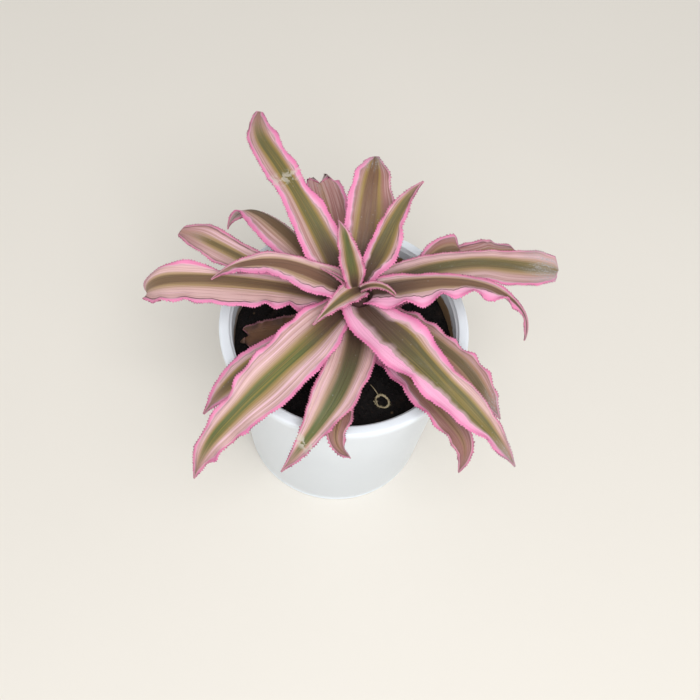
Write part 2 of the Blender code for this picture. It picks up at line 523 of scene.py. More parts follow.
def soil_height(x, y):
    """Height of the lumpy surface at a place, in mm."""
    place = Vector((x, y, 0))
    mound = SOIL_HIGH.z - MOUND + MOUND * cos(min(hypot(x, y) / SOIL_HIGH.x, 1) * pi / 2)
    lumps = noise.fractal(place * 0.12, 0.8, 2.1, 5) * 0.9
    crumbs = noise.fractal(place * 0.55 + Vector((9, 4, 0)), 0.7, 2.2, 3) * 0.55
    return mound + lumps + crumbs - 0.5


def soil_body():
    """The plug of mix: a turned body whose top is then heaped and pitted."""
    top, low, edge = SOIL_HIGH.z - MOUND, SOIL_LOW.z, SOIL_HIGH.x
    profile = [(edge * i / SOIL_RINGS, top) for i in range(SOIL_RINGS + 1)]
    profile += [(edge - (top - low) * TAPER, low), (0, low)]
    shape = spun(profile, SOIL_STEPS)
    for vert in shape.verts:
        if vert.co.z > (top - 1) * MM:
            x, y = vert.co.x / MM, vert.co.y / MM
            vert.co.z = soil_height(x, y) * MM
    return shape


def add_crumbs(shape, count, draw):
    """Squashed crumbs of bark and peat, half sunk into the surface."""
    for _ in range(count):
        reach = (SOIL_HIGH.x - 1) * draw.random() ** 0.5
        turn = draw.uniform(0, 2 * pi)
        x, y = reach * cos(turn), reach * sin(turn)
        size = CRUMB_RADIUS * draw.uniform(0.5, 1.5) ** 1.5
        turned = Matrix.Rotation(draw.uniform(0, 2 * pi), 4, (draw.random(), draw.random(), 1))
        squash = Matrix.Diagonal((draw.uniform(0.8, 1.7), 1, draw.uniform(0.5, 0.9), 1))
        where = Matrix.Translation(Vector((x, y, soil_height(x, y) + 0.2 * size)) * MM)
        matrix = where @ turned @ squash
        bmesh.ops.create_icosphere(shape, subdivisions=1, radius=size * MM, matrix=matrix)


def add_fibre(shape, draw):
    """A thin, bent fibre that lies on the surface."""
    reach = (SOIL_HIGH.x - 4) * draw.random() ** 0.5
    turn = draw.uniform(0, 2 * pi)
    heading = draw.uniform(0, 2 * pi)
    length = draw.uniform(3, 9)
    bend = draw.uniform(-1, 1)
    points = []
    for i in range(FIBRE_STEPS + 1):
        share = i / FIBRE_STEPS
        step = length * (share - 0.5)
        x = reach * cos(turn) + step * cos(heading + bend * share)
        y = reach * sin(turn) + step * sin(heading + bend * share)
        if hypot(x, y) > SOIL_HIGH.x - 1:
            x, y = x * 0.9, y * 0.9
        lift = 0.35 + 0.5 * sin(pi * share) * draw.random()
        points.append((x, y, soil_height(x, y) + lift))
    thick = draw.uniform(0.12, 0.26)
    tube(shape, points, [thick] * (FIBRE_STEPS - 1) + [thick * 0.8, thick * 0.5], 5)


def peat(settings):
    """Damp peat, nearly black, with bark crumbs and pale specks."""
    finish = Finish("damp potting mix", {"Specular IOR Level": 0.3})
    place = finish.place()
    broad = finish.noise(place, 90, 4, 0.6)
    fine = finish.noise(place, 900, 3, 0.7)
    grain = finish.cells(place, 700)
    chips = 1 - finish.cells(place, 260).rise(0.1, 0.2)
    few = finish.noise(place, 300, 1).rise(0.6, 0.68)
    colour = finish.layered(
        settings.dark,
        (settings.brown, broad.rise(0.56, 0.78) * 0.4),
        (settings.brown, fine.rise(0.6, 0.72) * 0.7),
        (settings.chip, chips * few * 0.5),
    )
    finish.bumps(fine + grain * 0.6, 0.0006)
    return finish.wear(colour, 0.75 + fine * 0.25)


class EARTHSTAR_OT_soil(bpy.types.Operator):
    """Fill the pot with potting mix, with loose crumbs and fibres on it"""

    bl_idname = "earthstar.soil"
    bl_label = "Soil"

    def execute(self, context):
        settings = context.scene.earthstar_soil
        draw = random.Random(7)
        shape = soil_body()
        add_crumbs(shape, settings.crumbs, draw)
        for _ in range(settings.fibres):
            add_fibre(shape, draw)
        add_piece("soil_bed", shape, "soil", "soil", peat(settings))
        return {"FINISHED"}


# -------- stem

STEM_TOP = 119.8
STEM_STATIONS = ((74, 6), (112, 6), (116, 4), (STEM_TOP, 1.6))
STEM_STEPS = 40
SCAR_PITCH = 2.2
SCAR_DEPTH = 0.3
SCAR_ROWS = 6  # rows of faces to a scar


def stem_radius(height):
    """Radius of the stem at a height: straight, then narrowing twice."""
    low, high = STEM_STATIONS[0], STEM_STATIONS[-1]
    for station in STEM_STATIONS[1:]:
        if height <= station[0]:
            high = station
            break
        low = station
    return blended(low[1], high[1], (height - low[0]) / (high[0] - low[0]))


def bark(settings):
    """Brown stem with darker leaf scars round it."""
    finish = Finish("scarred stem")
    place = finish.place()
    height = finish.parts(place)[2] / MM
    wander = finish.noise(place, 200, 3)
    ring = abs((height / SCAR_PITCH + wander).fraction() - 0.5)
    scar = ring.rise(0.34, 0.48)
    flakes = finish.noise(place, 700, 3).rise(0.58, 0.7)
    colour = finish.layered(
        settings.bark,
        (settings.scar, scar),
        (settings.flake, flakes * 0.5),
        (settings.top, height.rise(STEM_TOP - 8, STEM_TOP - 3)),
    )
    finish.bumps(wander - scar * 0.8, 0.0005)
    return finish.wear(colour, 0.8 + wander * 0.15)


class EARTHSTAR_OT_stem(bpy.types.Operator):
    """Turn the short stem, ringed with the scars of old leaves"""

    bl_idname = "earthstar.stem"
    bl_label = "Stem"

    def execute(self, context):
        low, top = STEM_LOW.z, STEM_TOP
        rows = ceil((top - low) / SCAR_PITCH * SCAR_ROWS)
        profile = [(0, low)]
        for i in range(rows + 1):
            height = blended(low, top - 0.2, i / rows)
            notch = SCAR_DEPTH * (1 - abs(sin(pi * height / SCAR_PITCH)) ** 0.5)
            profile.append((stem_radius(height) - notch, height))
        profile.append((0, top))
        shape = spun(profile, STEM_STEPS)
        for vert in shape.verts:
            sway = noise.noise(vert.co * 160) * 0.35
            vert.co.x += STEM_X * MM + sway * MM
        add_piece("scarred_stem", shape, "stem", "stem", bark(context.scene.earthstar_stem))
        return {"FINISHED"}


# -------- dried curl

CURL_STEPS = 44
CURL_START = 120  # degrees
CURL_TURN = 480  # degrees from its first end to its last
CURL_LIFT = 1.1
FUZZ = 60  # loose hairs on the shred


def straw(settings):
    """Papery dry leaf, tan with brown streaks."""
    finish = Finish("dry leaf shred")
    place = finish.place()
    streak = finish.noise(place, 1200, 4, 0.7)
    colour = finish.mix(settings.straw, settings.streak, streak.rise(0.42, 0.68))
    finish.bumps(streak, 0.0002)
    return finish.wear(colour, 0.62 + streak * 0.3)


class EARTHSTAR_OT_curl(bpy.types.Operator):
    """Lay a dry, curled shred of leaf on the soil"""

    bl_idname = "earthstar.curl"
    bl_label = "Dried curl"

    def execute(self, context):
        centre = (CURL_LOW + CURL_HIGH) / 2
        radius = (CURL_HIGH.x - CURL_LOW.x) / 2 - 1.3
        level = soil_height(centre.x, centre.y) + 0.7
        shape = bmesh.new()
        draw = random.Random(3)
        points, radii = [], []
        for i in range(CURL_STEPS + 1):
            turn = radians(CURL_START + CURL_TURN * i / CURL_STEPS)
            reach = radius * (1 + 0.1 * sin(2.3 * turn + 1))
            x, y = centre.x + reach * cos(turn), centre.y + reach * sin(turn)
            points.append((x, y, level + CURL_LIFT * ramp(i, 0, CURL_STEPS)))
            thick = (0.16 + 0.26 * ramp(i, 6, 24)) * draw.uniform(0.6, 1.4)
            radii.append(thick * (1 - 0.6 * ramp(i, 32, CURL_STEPS)))
        tube(shape, points, radii, 8)
        for _ in range(FUZZ):
            root = Vector(draw.choice(points[6:]))
            heading = draw.uniform(0, 2 * pi)
            away = Vector((cos(heading), sin(heading), draw.uniform(0.1, 0.8)))
            away *= draw.uniform(0.3, 0.7)
            sag = Vector((away.y, -away.x, -0.2))
            tube(shape, [root, root + away, root + away * 1.6 + sag * 0.5], [0.09, 0.08, 0.04], 4)
        start = Vector(points[0])
        stalk = [start + Vector((-0.9 * i, 1.15 * i, 0.12 * i * (5 - i))) for i in range(6)]
        tube(shape, stalk, [0.3, 0.24, 0.2, 0.18, 0.16, 0.1], 6)
        skin = straw(context.scene.earthstar_curl)
        add_piece("dried_curl_wisp", shape, "dried_curl", "dried_curl", skin)
        return {"FINISHED"}


# -------- leaves


class Blade(NamedTuple):
    """One leaf. Left and right are as seen from the stem, and pairs hold left, then right."""

    turn: float  # heading where it leaves the stem, degrees
    sweep: float  # change of heading along it
    height: float  # where it leaves the stem, mm
    rise: float  # slope at the stem, degrees
    droop: float  # slope at the tip
    bend: float  # how late it bends from one to the other
    length: float  # mm
    left: tuple  # mm from its middle to the left margin, at even steps from foot to tip
    right: tuple
    seat: float = 6.5  # mm from the stem's axis to its foot
    clasp: float = 1  # how far its foot wraps round the stem, 0 to 1
    hook: float = 0  # degrees that its last part turns to the left
    curl: float = 0  # degrees that its last part tips up
    twist: float = 0  # degrees that its last part leans, left side up
    fold: tuple = (12, 12)  # degrees that its left and right halves rise from the middle
    lobes: tuple = ((5, 0.5), (5, 0.5))  # lobes along its margins, and their depth in mm
    pink: tuple = ((2.4, 1.2), (2.4, 1.2))  # width of its pink margins at foot and tip, mm
    # The dark line inside a margin is partly reddish colour and partly painted shade in the
    # margin's fold.
    crease: tuple = (0.3, 0.3)  # how dark the line inside the left and right margin is
    middle: float = 0.36  # half width of its centre stripe, as a share of its own
    green: float = 0.6
    pale: float = 0.7
    gold: float = 0.6
    scurf: float = 0.3
    # The dark foot is partly the blade's browner base and partly painted shade from the leaves
    # above it.
    foot: float = 0.34  # how far out the dark foot reaches, 0 to 1
    scar: float = -1  # where a scraped patch crosses it, 0 to 1
    torn: float = 0  # how deep its end is notched, mm


BLADES = {
    "centre_curled": Blade(
        16, -46, 122.5, 42, -64, 1, 20, (1.6, 1.7, 1.5, 1, 0.3), (1.6, 1.7, 1.5, 1, 0.3), seat=1,
        green=0.3, clasp=0, crease=(0.1, 0.1), pale=0.4, pink=((-0.5, -0.5), (-0.5, -0.5)),
    ),
    "centre_left": Blade(
        -132, 4, 121, 26, -22, 1, 29, (4, 5.2, 5, 3.6, 2.4, 1.2, 0.3),
        (3.5, 5, 4.6, 3.2, 2, 1, 0.3), seat=-2.5, green=0.5, crease=(0.1, 0.1), middle=0.3,
        pale=0.8, clasp=0.2, pink=((0.9, 0.4), (0.7, 0.4)),
    ),
    "centre_upright": Blade(
        134, -26, 121, 76, 40, 1, 33, (2.5, 4.5, 4.5, 5, 4.4, 3.8, 3.2, 0.3),
        (2.5, 4.6, 5.3, 4.8, 4, 2.5, 1.3, 0.3), seat=1.5, hook=42, green=0.9, clasp=0,
        crease=(0.1, 0.1), middle=0.42, gold=0.5, pale=0.5, pink=((1.1, 0.3), (0.9, 0.2)),
    ),
    "back_right_upright": Blade(
        64, -6, 120, 60, 22, 1, 51, (5.5, 5, 4.5, 4.5, 4.5, 4.5, 3.8, 2, 0.3),
        (2, 4.5, 7.5, 9, 7.5, 4.5, 3, 1.5, 0.3), seat=4.5, hook=-13, crease=(0.2, 0.7), middle=0.44,
        gold=0.8, pale=0.3, foot=0.6, pink=((2.4, -0.3), (2.8, 0.2)),
    ),
    "centre_thin": Blade(
        160, 10, 121, 40, 12, 1, 17, (2, 1.4, 0.8, 0.3), (2, 1.4, 0.8, 0.3), seat=2, green=0.3,
        clasp=0,
    ),
    "right_curved": Blade(
        20, -46, 119.5, 12, -90, 2.5, 86, (6, 5, 3.5, 3, 3, 3, 1.5, 0.6, 0.3),
        (9, 12.5, 12.5, 9.5, 6.5, 4, 2, 1.5, 0.3), hook=-56, green=0.05, crease=(0.2, 0.8),
        pale=0.75, gold=0.4, lobes=((5, 0.5), (6, 2.4)), pink=((0.9, 0.5), (5.5, 0.5)),
    ),
    "left_arching": Blade(
        164, 40, 119, 35, -24, 1, 61, (8, 10, 12.5, 12, 8, 6, 5, 2.5, 0.3),
        (7, 6, 4.5, 4, 4.5, 4, 2.5, 1, 0.3), seat=5, hook=18, green=0, crease=(0.8, 0.2),
        middle=0.4, pale=1, gold=0.4, pink=((4.4, 1.2), (0.4, 0.4)),
    ),
    "back_broad": Blade(
        92, -9, 118, 34, -40, 6, 58.5, (7, 8, 8, 8, 8, 8.4, 8.4, 8, 7, 4.5, 1),
        (7, 9, 11, 12, 13, 13.5, 11.5, 9, 7, 3.5, 0.5), hook=10, green=0, scurf=1, gold=0.9,
        torn=2.5, pale=0.12, foot=0.45, lobes=((5, -0.8), (5, -1)), pink=((2.6, 1.2), (2.6, -0.8)),
    ),
    "front_right_long": Blade(
        -49, 19, 118, 5, -50, 2, 94.5, (4, 9, 12, 9.5, 7.5, 8, 6.5, 4.2, 0.3),
        (13, 14, 13, 10.5, 9.5, 8.5, 5, 2.5, 0.3), seat=6, hook=5, green=0.7, gold=0.9,
        crease=(0.2, 0.2), middle=0.46, scurf=1.2, foot=0.5, pale=0.8, lobes=((4, 1.5), (5, 1.4)),
        pink=((5.5, -3.5), (9, 1.6)),
    ),
    "front_left_long": Blade(
        -122, -14, 116, 8, -66, 2, 101, (5, 8, 11.5, 12.5, 13.5, 11, 9, 5, 0.3),
        (9, 11.5, 12, 11, 10.5, 7, 5.5, 3.5, 0.3), seat=7, hook=25, green=1, crease=(0.2, 0.4),
        middle=0.26, pale=0.9, gold=0.8, lobes=((6, -2.2), (7, -1)), pink=((1.4, 0.8), (1.5, 0.7)),
    ),
    "back_left_long": Blade(
        129, 0, 115, 38, -10, 1, 96, (8, 11, 11.5, 10, 8, 8.5, 7, 4, 1.5),
        (8, 8, 7.5, 7, 5.5, 6, 6.5, 6, 1.5), hook=-42, green=0.7, middle=0.34, gold=0.9, scar=0.57,
        pale=0.55, lobes=((5, -1), (5, -0.9)), pink=((3, 0.3), (3, 1)),
    ),
    "left_broad": Blade(
        174, 30, 113, 9, -66, 8, 97, (8, 9.5, 11.5, 13, 14.7, 15.5, 14.8, 13.5, 11.5, 3, 0.3),
        (7, 6, 5, 4, 4, 4, 5, 6.3, 6.5, 4, 0.3), hook=-4, green=0.2, crease=(0.9, 0.2), middle=0.27,
        pale=1, curl=-95, lobes=((8.8, 1.9), (3, -1.6)), pink=((3.4, 0.3), (0.8, 0.8)),
    ),
    "right_broad": Blade(
        41.3, -59, 112, 10, -6, 2, 85.7, (8, 8, 7, 6, 5, 5, 5.6, 7.8, 6.5),
        (8, 9, 10, 11, 12.5, 12, 13.5, 11, 5.8), hook=15, green=0.55, middle=0.3, scurf=1.2,
        pale=0.75, torn=0.6, foot=0.5, lobes=((9, 0.6), (5, 0.5)), pink=((0.4, 0.3), (0.8, 1.1)),
    ),
    "front": Blade(
        -83, -58, 112, 0, -40, 1.5, 76, (8, 9, 10, 9, 8.5, 6, 4.5, 3.5, 0.3),
        (8, 9, 10, 10, 10, 8, 5, 2, 0.3), seat=7, hook=8, green=1, middle=0.34, pale=1, gold=0.4,
        scar=0.8, foot=0.8, lobes=((6, -0.9), (5, 0.5)), pink=((1, 0.5), (1, 0.4)),
    ),
    "back_short": Blade(
        112, 0, 109, 22, 6, 1, 57, (6.5, 7, 7, 7.5, 8, 6.5), (6.5, 7, 7, 8, 9, 8), green=0.1,
        pale=0.15, middle=0, gold=0, torn=4.5, scurf=0.6, lobes=((3, 1.5), (3, 1.5)),
        pink=((1.4, 0.8), (1.4, 0.8)),
    ),
    "left_high": Blade(
        170, -20, 107, 15, -14, 2, 79, (7, 8, 8, 8, 8, 8.6, 8.4, 7, 3),
        (7, 7, 7, 6.5, 6, 6, 6.5, 7, 2.5), hook=10, green=0.4, middle=0.2, pale=0.85,
        crease=(0.6, 0.7), gold=0.7, pink=((0.6, 0.5), (0.6, 0.5)),
    ),
    "right_short": Blade(
        36.5, 20.6, 108, 12, -6, 1, 50.5, (6.5, 5.5, 4, 4, 6, 7.5), (6.5, 7, 7, 6.5, 5, 3),
        green=0.2, pale=0.1, torn=1, crease=(0.6, 0.6), gold=0.2, hook=-45,
        pink=((1.2, 0.8), (0.9, 0.5)),
    ),
    "front_right_low": Blade(
        -12, -50, 107, 8, -34, 2, 74, (7, 7, 7, 6, 5, 6.5, 6.5, 4.5, 0.3),
        (7, 8, 8, 8, 7, 6, 5, 3, 0.3), hook=20, green=0.35, scurf=1.3, pale=0.1, gold=0.1, foot=0.5,
        lobes=((8, -0.8), (5, 0.5)), pink=((1, 0.5), (1, 0.5)),
    ),
    "back_left_folded": Blade(
        134, 17, 104, 28, -70, 2, 83, (6.5, 9, 11, 12.5, 12, 8, 3.5, 0.3),
        (6.5, 6, 6, 5, 5, 4, 2.5, 0.3), green=0.2, pale=0.5, scurf=0.9, hook=74, fold=(8, -50),
        gold=0.2, twist=130, foot=0.2, pink=((2.4, 1.6), (0.4, 0.4)),
    ),
    "right_crinkled": Blade(
        39, -16, 101, 10, -12, 2, 76, (6.5, 7.5, 9, 8.5, 9, 8, 4), (6.5, 7, 8, 8, 7, 5, 0.5),
        green=0.2, pale=0.2, torn=2, crease=(0.8, 0.6), scurf=0.6, lobes=((6, 3.6), (5, 0.5)),
        pink=((0.8, 0.5), (0.8, 0.5)),
    ),
    "front_left_low": Blade(
        -150, 26, 104, 8, -24, 1, 73, (7, 8, 8.5, 8, 7, 4.5, 0.3), (7, 6, 5, 5.5, 6.3, 4.5, 0.3),
        green=0.3, pale=0.9, gold=0.9, foot=0.5, middle=0.34, pink=((1.6, 1), (1.8, 1)),
    ),
    "front_right_hooked": Blade(
        -55, 25, 104, 8, -90, 3, 86, (7, 7, 7, 7, 7, 6.5, 5, 2.5, 0.3),
        (7, 7, 6, 5.5, 6.5, 6, 5.5, 2.7, 0.3), hook=-98, green=0, pale=0, gold=0, middle=0.05,
        lobes=((5, 0.5), (7, 1)), pink=((1, 0.4), (5, -1.5)),
    ),
    "front_low": Blade(
        -89, -10, 101, 5, -74, 4, 66, (6, 7, 7, 6, 5, 3, 0.3), (6, 7, 7, 6, 5, 3, 0.3), hook=126,
        green=0, pale=0, gold=0.2, middle=0.1, lobes=((6, -1.4), (5, 0.5)),
        pink=((0.5, 0.3), (0.4, 0.3)),
    ),
    "left_withered": Blade(
        -171, 0, 92, -6, -8, 1, 42, (7, 8, 9, 9, 7), (7, 8, 8, 7, 5), green=0, pale=0, gold=0.1,
        torn=3, lobes=((5, 1.4), (5, 1.4)), pink=((0.4, 0.3), (0.4, 0.3)),
    ),
}

WITHERED = "left_withered"
STORED = (
    "margin", "pink", "crease", "middle", "green", "pale", "gold", "scurf", "scar", "foot", "tip",
    "seed", "body",
)  # what a blade's vertices carry for its finish and its thickness
BLADE_COLUMNS = 20
FOLD_POWER = 1.6  # how late a fold rises towards the margin
SHEATH = 0.22  # how far out a foot still clasps the stem, 0 to 1
TIP_PART = 0.72  # where a hook, a curl or a twist sets in
END_ROUND = 0.35  # length of a rounded end, as a share of its width
RIPPLE = 14  # mm between the buckles of a blade
SCAR_REACH = (0.01, 0.045)  # a scraped patch fades out between these, from its middle


def margin_at(widths, along):
    """Smooth curve through widths that stand at even steps from foot to tip."""
    last = len(widths) - 1
    i = min(int(along * last), last - 1)
    share = along * last - i
    before, low, high, after = (widths[min(max(i + step, 0), last)] for step in (-1, 0, 1, 2))
    bulge = share * (3 * (low - high) + after - before) + 2 * before - 5 * low + 4 * high - after
    return low + share / 2 * (high - before + share * bulge)


def reach_at(blade, hand, along):
    """Half width on one side in mm, rounded off at the tip."""
    widths = blade.left if hand > 0 else blade.right
    blunt = (blade.left[-1] + blade.right[-1]) / 2
    inward = min((1 - along) * blade.length / (END_ROUND * blunt), 1)
    return margin_at(widths, along) * max(1 - (1 - inward) ** 2, 0.01) ** 0.5


def stray(blade, hand, along, seed):
    """How far a margin strays outwards and upwards at a place, in mm.

    Lobes of a depth above 0 are round with sharp notches; below 0 they are points.
    """
    lobes, size = blade.lobes[0 if hand > 0 else 1]
    beat = pi * (lobes * along + 0.2 * noise.noise(Vector((along * 4, hand * 5, seed))))
    fade = ramp(along, 0, 0.06) * (1 - ramp(along, 0.86, 1))
    where = Vector((along * blade.length / 13, hand * 4, seed * 3))
    size *= 0.8 + 0.8 * noise.noise(where * 0.5)
    outward = size * (abs(sin(beat)) - 0.6) + 0.4 * noise.noise(where * 1.4)
    outward += 0.3 * noise.noise(where * 4.5)
    upward = abs(size) * 0.8 * cos(2 * beat) + 0.9 * noise.noise(where + Vector((0, 0, 50)))
    return outward * fade, upward * fade


def blade_stations(blade, rows):
    """Points down the middle of a blade in mm, each with its side and upward directions."""
    turn = radians(blade.turn)
    point = Vector((STEM_X + blade.seat * cos(turn), blade.seat * sin(turn), blade.height))
    stations = []
    for i in range(rows + 1):
        along = i / rows
        last = ramp(along, TIP_PART, 1)
        heading = turn + radians(blade.sweep * along + blade.hook * last)
        slope = radians(blended(blade.rise, blade.droop, along**blade.bend) + blade.curl * last)
        lean = radians(blade.twist * last)
        ahead = Vector((cos(slope) * cos(heading), cos(slope) * sin(heading), sin(slope)))
        level = Vector((-sin(heading), cos(heading), 0))
        up = ahead.cross(level)
        side = level * cos(lean) + up * sin(lean)
        up = up * cos(lean) - level * sin(lean)
        stations.append((along, point.copy(), side, up))
        point += ahead * blade.length / rows
    return stations


def wrapped(point, blade, share):
    """Bend the foot of a blade round the stem, by a share from 0 to 1."""
    turn = radians(blade.turn)
    x, y = point.x - STEM_X, point.y
    out = x * cos(turn) + y * sin(turn)
    across = y * cos(turn) - x * sin(turn)
    if out < 0.5:
        return point
    angle = turn + across / max(out, 4)
    bent = Vector((STEM_X + out * cos(angle), out * sin(angle), point.z))
    return point.lerp(bent, share)


def blade_shape(blade, seed, settings):
    """The upper surface of one leaf, with what its finish reads stored on it."""
    draw = random.Random(seed)
    tooth, pitch = settings.tooth / MM, settings.pitch / MM
    rows = 2 * round(blade.length / pitch)
    stations = blade_stations(blade, rows)
    hands = (-1, 1)
    steps = range(rows + 1)
    strays = {hand: [stray(blade, hand, i / rows, seed) for i in steps] for hand in hands}
    teeth = {hand: [draw.uniform(0.55, 1.15) for _ in steps] for hand in hands}
    shape = bmesh.new()
    bmesh.ops.create_grid(shape, x_segments=rows, y_segments=BLADE_COLUMNS, size=1)
    uv = shape.loops.layers.uv.new("blade")
    layers = {name: shape.verts.layers.float.new(name) for name in STORED}
    place = {}
    for vert in shape.verts:
        row = round((vert.co.x + 1) / 2 * rows)
        across = 0.55 * vert.co.y + 0.45 * sin(pi / 2 * vert.co.y)
        along, point, side, up = stations[row]
        hand = 1 if across > 0 else -1
        which = 0 if hand > 0 else 1
        outward, upward = strays[hand][row]
        half = reach_at(blade, hand, along)
        reach = max(half + outward * min(half / 4, 1), 0.25)
        fold = radians(blade.fold[which])
        spread = reach * cos(fold) * across
        lift = half * sin(fold) * abs(across) ** FOLD_POWER
        lift += upward * min(half / 4, 1) * abs(across) ** 4
        buckle = Vector((along * blade.length / RIPPLE, across * 1.3, seed * 5))
        lift += 0.3 * noise.noise(buckle) * ramp(along, 0.05, 0.3)
        ragged = noise.noise(Vector((spread * 0.7, seed, 0)))
        rip = 0.5 - abs(sin(spread * 0.45 + seed)) + 0.6 * ragged
        ahead = side.cross(up) * blade.torn * rip * ramp(along, 0.85, 0.97)
        spot = point + side * spread + up * lift + ahead
        if abs(vert.co.y) > 0.999 and row % 2 and row < rows - 1:
            spot += side * hand * tooth * teeth[hand][row] * min(half / 2, 1)
        spot = wrapped(spot, blade, blade.clasp * (1 - ramp(along, 0.03, SHEATH)))
        place[vert.index] = (along, (across * reach / max(half, 1) + 1) / 2)
        vert.co = spot * MM
        pink = blended(*blade.pink[which], along) + outward * 0.5
        stored = {
            "margin": reach * (1 - abs(across)),
            "pink": min(max(pink, 0.3), reach * 0.5),
            "crease": blade.crease[which],
            "middle": blade.middle,
            "green": blade.green * ramp(along, 0.02, 0.35),
            "pale": blade.pale,
            "gold": blade.gold,
            "scurf": blade.scurf * (0.1 + 0.9 * ramp(along, 0.75, 0.95)),
            "scar": 1 - ramp(abs(along - blade.scar), *SCAR_REACH),
            # foot carries the dark foot: the browner base and the painted shade near the stem.
            "foot": 1 - ramp(along, 0.04, blade.foot),
            "tip": ramp(along, 0.76, 0.98) * (0.3 if blade.torn else 1),
            "seed": seed,
            "body": 0.34 + 0.66 * (1 - abs(across) ** 3) * min(half / 4, 1),
        }
        for name, value in stored.items():
            vert[layers[name]] = value
    for face in shape.faces:
        for loop in face.loops:
            loop[uv].uv = place[loop.vert.index]
    return shape


AGE = 0.85  # how far the withered leaf has turned brown, 0 to 1


def leaf_skin(name, settings, under=False, age=0.0):
    """Striped leaf: olive centre, golden lines, rosy and pale bands, and a pink margin."""
    finish = Finish(name, {"Specular IOR Level": 0.4})
    along, across = finish.uv("blade")
    place = finish.place()
    read = {key: finish.attribute(key) for key in STORED if key != "body"}
    margin, pink, crease, middle, green, pale, gold, scurf, scar, foot, tip, seed = read.values()
    across = across * 2 - 1

    def streaks(count, drift, shift, detail=2.0):
        """Lines that run along the leaf: how many across it, and how they drift."""
        where = finish.joined(across * count, along * drift, seed * 7.3 + shift)
        return finish.noise(where, 1, detail, 0.55)

    broad = streaks(3, 1.1, 0)
    lines = streaks(11, 1.2, 20)
    fine = streaks(28, 2.4, 40)
    hairs = streaks(90, 6, 60, 1)
    blotch = finish.noise(place, 110, 3, 0.6)
    band = abs(across + (broad - 0.5) * 0.24 + (fine - 0.5) * 0.06)

    light = finish.layered(
        settings.rosy,
        (settings.pale, (pale * 1.6 - 0.6 + lines.rise(0.38, 0.58)).held()),
        (settings.blush, (lines.rise(0.54, 0.62) * pale * 0.9).held()),
        (settings.rosy, (1 - fine.rise(0.36, 0.5)) * 0.45),
        (settings.rosy, band.rise(0.62, 0.95) * broad.rise(0.4, 0.6) * 0.6),
        (settings.brown, (0.4 - pale * 1.5).held()),
        (settings.rosy, tip * 0.7),
    )
    glints = (fine + broad).rise(0.94, 1.2) * gold * (green * 0.6 + 0.15)
    leafy = finish.layered(
        settings.brown,
        (settings.green, (green + (blotch - 0.5) * 0.3).held()),
        (settings.gold, glints.held()),
        (settings.dark, (1 - lines.rise(0.36, 0.48)) * 0.28),
    )
    beside = (1 - (band - middle).rise(0.02, 0.3)) * (1 - tip * 0.8)
    centre = (1 - (band - middle).rise(-0.12, 0.08)) * (1 - tip * 0.85)
    colour = finish.layered(
        light,
        (settings.gold, (beside * (0.4 + gold * 0.6)).held()),
        (leafy, centre),
        # Dark foot: partly the browner base, partly painted shade where the leaves above shade the
        # blade near the stem.
        (settings.dark, foot * (1 - band.rise(0.25, 0.75)) * 0.85),
    )
    # Brighter along the fine lines and hairs; the palest leaves are a little brighter still, partly
    # their own paler tone and partly painted light for leaves that the lamp lights less.
    colour = finish.shaded(colour, 0.78 + fine * 0.26 + hairs * 0.18 + pale.rise(0.7, 1) * 0.1)

    edge = margin - (0.4 if under else pink * (0.35 + streaks(0.4, 14, 80) * 1.3))
    # The dark line inside the margin: partly its reddish colour, partly painted shade in the fold.
    line = (1 - abs(edge - 0.4).rise(0.1, 0.5)) * crease * streaks(0.4, 9, 90).rise(0.3, 0.55)
    # Pink border: the shell pink inward of the edge is partly painted highlight.
    border = finish.layered(
        settings.pink,
        (settings.shell, (margin.rise(0.2, 3) + broad - 0.4).held()),
        (settings.rosy, (1 - pink.rise(0.4, 1.4)) * 0.4),
    )
    rust = (1 - margin.rise(0, 0.3)) * streaks(0.4, 30, 100).rise(0.46, 0.6)

    scales = finish.noise(place, 1400, 3, 0.7).rise(0.5, 0.62)
    patch = (streaks(5, 7, 120) + scurf * 0.16).rise(0.52, 0.68)
    grey = (scales * 0.7 + 0.3) * patch * scurf
    specks = (1 - finish.cells(place, 420).rise(0.06, 0.16)) * blotch.rise(0.46, 0.6)
    grey = grey + specks * 0.5
    if under:
        bars = streaks(2, 30, 140).rise(0.35, 0.7)
        grey = (0.45 + bars * 0.4) * margin.rise(0.2, 1.2)
    scraped = finish.noise(place, 420, 2).rise(0.47, 0.55) * scar
    faded = finish.shaded(settings.old, 0.5 + blotch.rise(0.36, 0.62))
    colour = finish.layered(
        colour,
        (settings.blush, (1 - edge.rise(0.1, pink * 0.5 + 0.2)) * 0.6),
        (settings.crease, line.held()),
        (border, 1 - edge.rise(-0.3, 0.3)),
        (settings.crease, rust * 0.6),
        (settings.scurf, (grey * 0.75).held()),
        (settings.scrape, scraped * (0.3 + pale * 0.45)),
        (faded, age * (0.7 + margin.rise(0.1, 0.8) * 0.3)),
    )
    finish.bumps(lines * 0.6 + fine * 0.4 + hairs * 0.2 + blotch * 0.4, 0.0004)
    return finish.wear(colour, (0.36 + blotch * 0.2 + grey * 0.3).held())


def add_blade(name, seed, slot, settings, materials):
    """Add one leaf: its upper surface, with a live modifier that gives it its thickness."""
    shape = blade_shape(BLADES[name], seed, settings)
    piece = add_piece(f"blade_{name}", shape, f"leaf_{name}", slot, *materials)
    group = piece.vertex_groups.new(name="body")
    for i, value in enumerate(piece.data.attributes["body"].data):
        group.add([i], value.value, "REPLACE")
    solid = piece.modifiers.new("blade", "SOLIDIFY")
    solid.thickness = settings.thickness
    solid.offset = -1
    solid.vertex_group = "body"
    solid.material_offset = 1
    solid.material_offset_rim = 0


